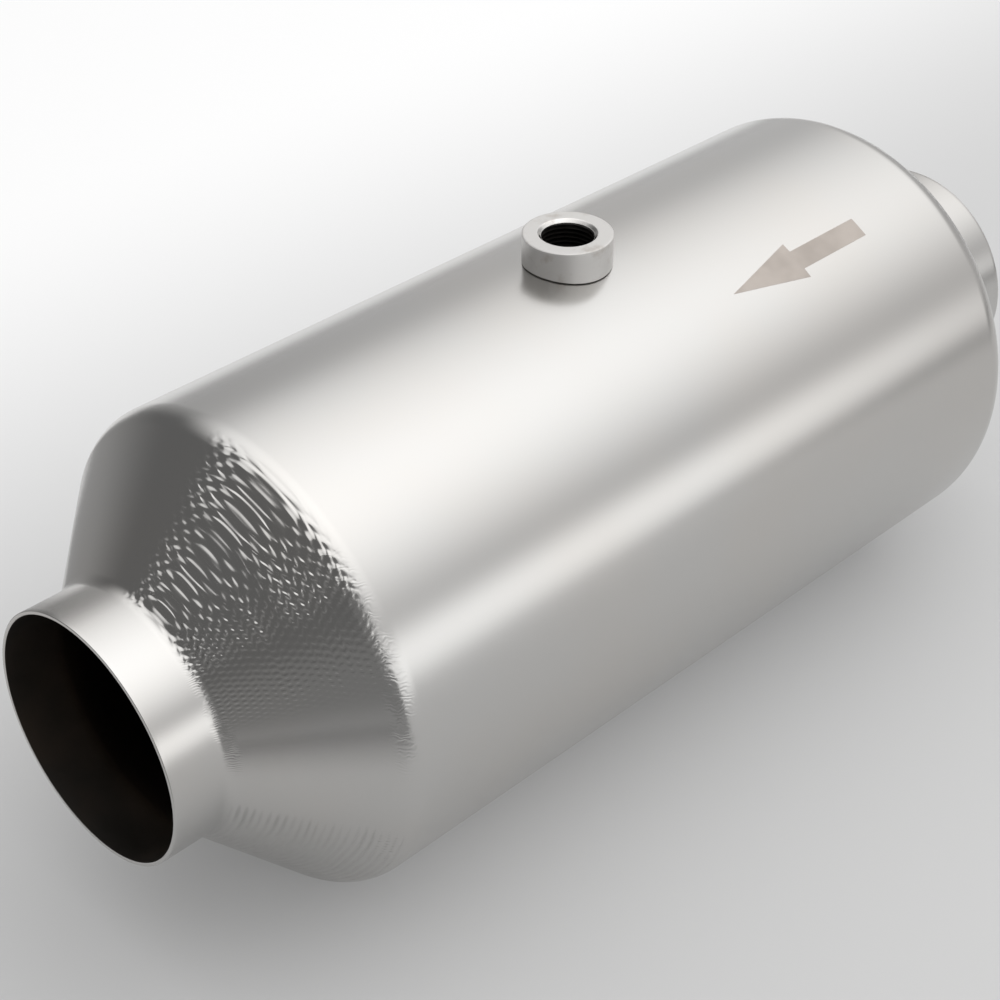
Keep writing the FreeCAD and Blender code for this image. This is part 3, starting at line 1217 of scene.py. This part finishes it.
@dataclass
class Studio:
    """A pale floor, glowing panels with soft edges, dark cards and the camera."""

    floor_z: float = -0.0764
    floor_half: float = 4.0
    floor_shade: float = 0.46
    floor_glow: float = 0.155
    glow_behind_level: float = 0.36
    world_level: float = 0.66
    softbox_level: float = 2.1
    strip_level: float = 1.65
    end_level: float = 0.55
    card_level: float = 0.17
    near_card_level: float = 0.22
    azimuth: float = -44.863
    elevation: float = 35.074
    camera_place: tuple[float, float, float] = (0.6879, -0.0205, -0.0107)
    lens: float = 76.04

    def lay_floor(self) -> None:
        """The floor, which a camera under it sees through. Its tone is painted darker in front to
        the right and beyond, as painted shade for the steel to mirror, and a band behind the object
        glows brighter, as painted light.
        """
        far, z = self.floor_half, self.floor_z
        corners = ((-far, -far, z), (far, -far, z), (far, far, z), (-far, far, z))
        floor = staged_sheet("floor", corners)
        g = Graph("floor")
        across, behind, _ = g.parts(g.place())
        # Painted shade on the floor: darker in front to the right, and down to half far to the
        # right, for the steel to mirror.
        aside = g.spread(across, 0.5, 0.8, 0.0, 0.6)
        aside = g.times(aside, g.spread(behind, -0.62, -0.2, 1.0, 0.0), -1.0)
        floor_tone_share = g.times(g.spread(across, 1.5, 3.2, 1.0, 0.5), g.add(aside, 1.0))
        tone = g.times(floor_tone_share, self.floor_shade)
        shade = g.node("ShaderNodeBsdfDiffuse")
        g.feed(shade.inputs[0], g.vector(tone, tone, tone))
        rays = g.node("ShaderNodeLightPath").outputs
        seen = g.math("MAXIMUM", rays["Is Camera Ray"], rays["Is Glossy Ray"])
        seen = g.math("MAXIMUM", seen, rays["Is Transmission Ray"])
        # Painted light on the floor: a brighter glow in a band behind the object.
        glow_behind = g.times(g.hill(behind, (0.06, 0.42), (0.8, 1.5)), self.glow_behind_level)
        glow = g.node("ShaderNodeEmission")
        level = g.times(seen, g.add(glow_behind, g.times(floor_tone_share, self.floor_glow)))
        g.feed(glow.inputs["Strength"], level)
        both = g.node("ShaderNodeAddShader")
        g.feed(both.inputs[0], shade.outputs[0])
        g.feed(both.inputs[1], glow.outputs[0])
        back = g.node("ShaderNodeNewGeometry").outputs["Backfacing"]
        below = g.times(back, rays["Is Camera Ray"])
        floor.data.materials.append(g.mix(below, both, g.node("ShaderNodeBsdfTransparent")))

    def panels(self) -> list[Panel]:
        """The lights and large cards, then the cards close to the object.

        Those are a softbox overhead, a strip on the camera's right, a faint panel beyond
        the inlet and two cards, on the left and behind.
        """
        z, near = self.floor_z, self.near_card_level
        skirt = z + 0.026
        sheets = (
            (
                "softbox",
                ((-2.7, -3.5, 1.6), (-2.7, 3.4, 1.6), (5.8, 3.4, 1.6), (5.8, -3.5, 1.6)),
                self.softbox_level,
                ((0, -2.1, 0.46), (0, 5.7, -0.8), (1, -3.44, 0.05), (1, 3.3, -0.9)),
            ),
            (
                "strip",
                upright((-1.5, -1.3), (2.1, -1.3), z, 0.6),
                self.strip_level,
                ((0, -1.5, 0.26), (0, 2.1, 0.95), (2, 0.6, 0.25), (2, -0.33, 0.23)),
            ),
            (
                "end_panel",
                upright((2.3, -1.2), (2.3, 1.5), z, 1.25),
                self.end_level,
                ((1, -1.2, -0.6), (1, 1.5, 1.0), (2, 1.25, 0.7)),
            ),
            (
                "side_card",
                upright((-1.5, -3.6), (-1.5, 3.2), z, 2.45),
                self.card_level,
                ((1, -3.6, -0.5), (2, 2.45, 1.3)),
            ),
            (
                "back_card",
                upright((-3.4, 3.2), (3.0, 3.2), z, 3.8),
                self.card_level,
                ((0, 3.0, -0.5), (2, 3.8, 3.0)),
            ),
        )
        close_cards = (
            (
                "near_card",
                upright((-0.38, -0.03), (-0.20, -0.31), z, 0.08),
                near + 0.03,
                ((2, 0.08, 0.035), (2, -0.11, 0.0)),
            ),
            (
                "near_skirt",
                (
                    (-0.296, 0.024, z),
                    (-0.116, -0.256, z),
                    (-0.20, -0.31, skirt),
                    (-0.38, -0.03, skirt),
                ),
                near + 0.05,
                ((2, z, skirt),),
            ),
            (
                "rear_card",
                upright((-0.45, 0.2), (-0.05, 0.2), z, 0.12),
                near + 0.13,
                ((0, -0.08, -0.13), (2, 0.12, 0.0)),
            ),
            (
                "rear_shade",
                upright((-0.47, 0.21), (-0.05, 0.21), z, 0.13),
                self.card_level,
                ((0, -0.08, -0.13), (2, 0.13, 0.09)),
            ),
            (
                "camera_card",
                upright((-0.95, -0.5), (-0.2, -0.5), 0.2, 0.8),
                near,
                ((0, -0.22, -0.6), (2, 0.2, 0.3), (2, 0.8, 0.6)),
            ),
        )
        made = [Panel(*sheet) for sheet in sheets]
        return made + [Panel(*card, mirrored_only=True) for card in close_cards]

    def light(self) -> None:
        """Hangs the panels in an even surround."""
        for panel in self.panels():
            panel.hang()
        world = bpy.data.worlds.new("surround")
        world.use_nodes = True
        surround = world.node_tree.nodes["Background"].inputs
        surround["Color"].default_value = (1, 1, 1, 1)
        surround["Strength"].default_value = self.world_level
        bpy.context.scene.world = world
        bpy.context.scene.view_settings.view_transform = "Standard"

    def set_camera(self) -> None:
        """Stands the camera at the photograph's angle: a turn around Z, then a height.

        Its place is how far it stands back along its own axis, to the right and up.
        """
        azimuth, elevation = math.radians(self.azimuth), math.radians(self.elevation)
        flat = math.cos(elevation)
        back = Vector((math.sin(azimuth) * flat, -math.cos(azimuth) * flat, math.sin(elevation)))
        right = Vector((math.cos(azimuth), math.sin(azimuth), 0))
        up = back.cross(right)
        data = bpy.data.cameras.new("camera")
        data.lens, data.sensor_width = self.lens, 36.0
        data.clip_start, data.clip_end = 0.01, 50.0
        camera = bpy.data.objects.new("camera", data)
        away, aside, above = self.camera_place
        place = away * back + aside * right + above * up
        turn = Matrix((right, up, back)).transposed().to_4x4()
        camera.matrix_world = Matrix.Translation(place) @ turn
        bpy.context.scene.collection.objects.link(camera)
        bpy.context.scene.camera = camera

    def build(self) -> None:
        """Sets up everything around the object."""
        self.lay_floor()
        self.light()
        self.set_camera()
        log.info("studio: floor, panels, cards and camera")


def seals(bricks: Sequence[CatalystBrick]) -> list[WireSeal]:
    """The four seals, each set in a little from its brick's face."""
    made = []
    for brick in bricks:
        near = brick.chamber / 2 + SEAL_INSET
        far = brick.chamber / 2 + brick.length - SEAL_INSET
        inlet = brick.end is End.INLET
        made.append(WireSeal(brick.end, "upstream", far if inlet else -near))
        made.append(WireSeal(brick.end, "downstream", near if inlet else -far))
    return made


def main() -> None:
    """Builds the shell, the boss, the inside, the arrow and the studio, in that order."""
    logging.basicConfig(level=logging.INFO, format="%(message)s")
    SpunShell().build()
    SensorBoss().build()
    bricks = [CatalystBrick(end) for end in End]
    for brick in bricks:
        brick.build()
    for seal in seals(bricks):
        seal.build()
    dress_mats()
    FlowArrow().build()
    Studio().build()


if __name__ == "__main__":
    main()
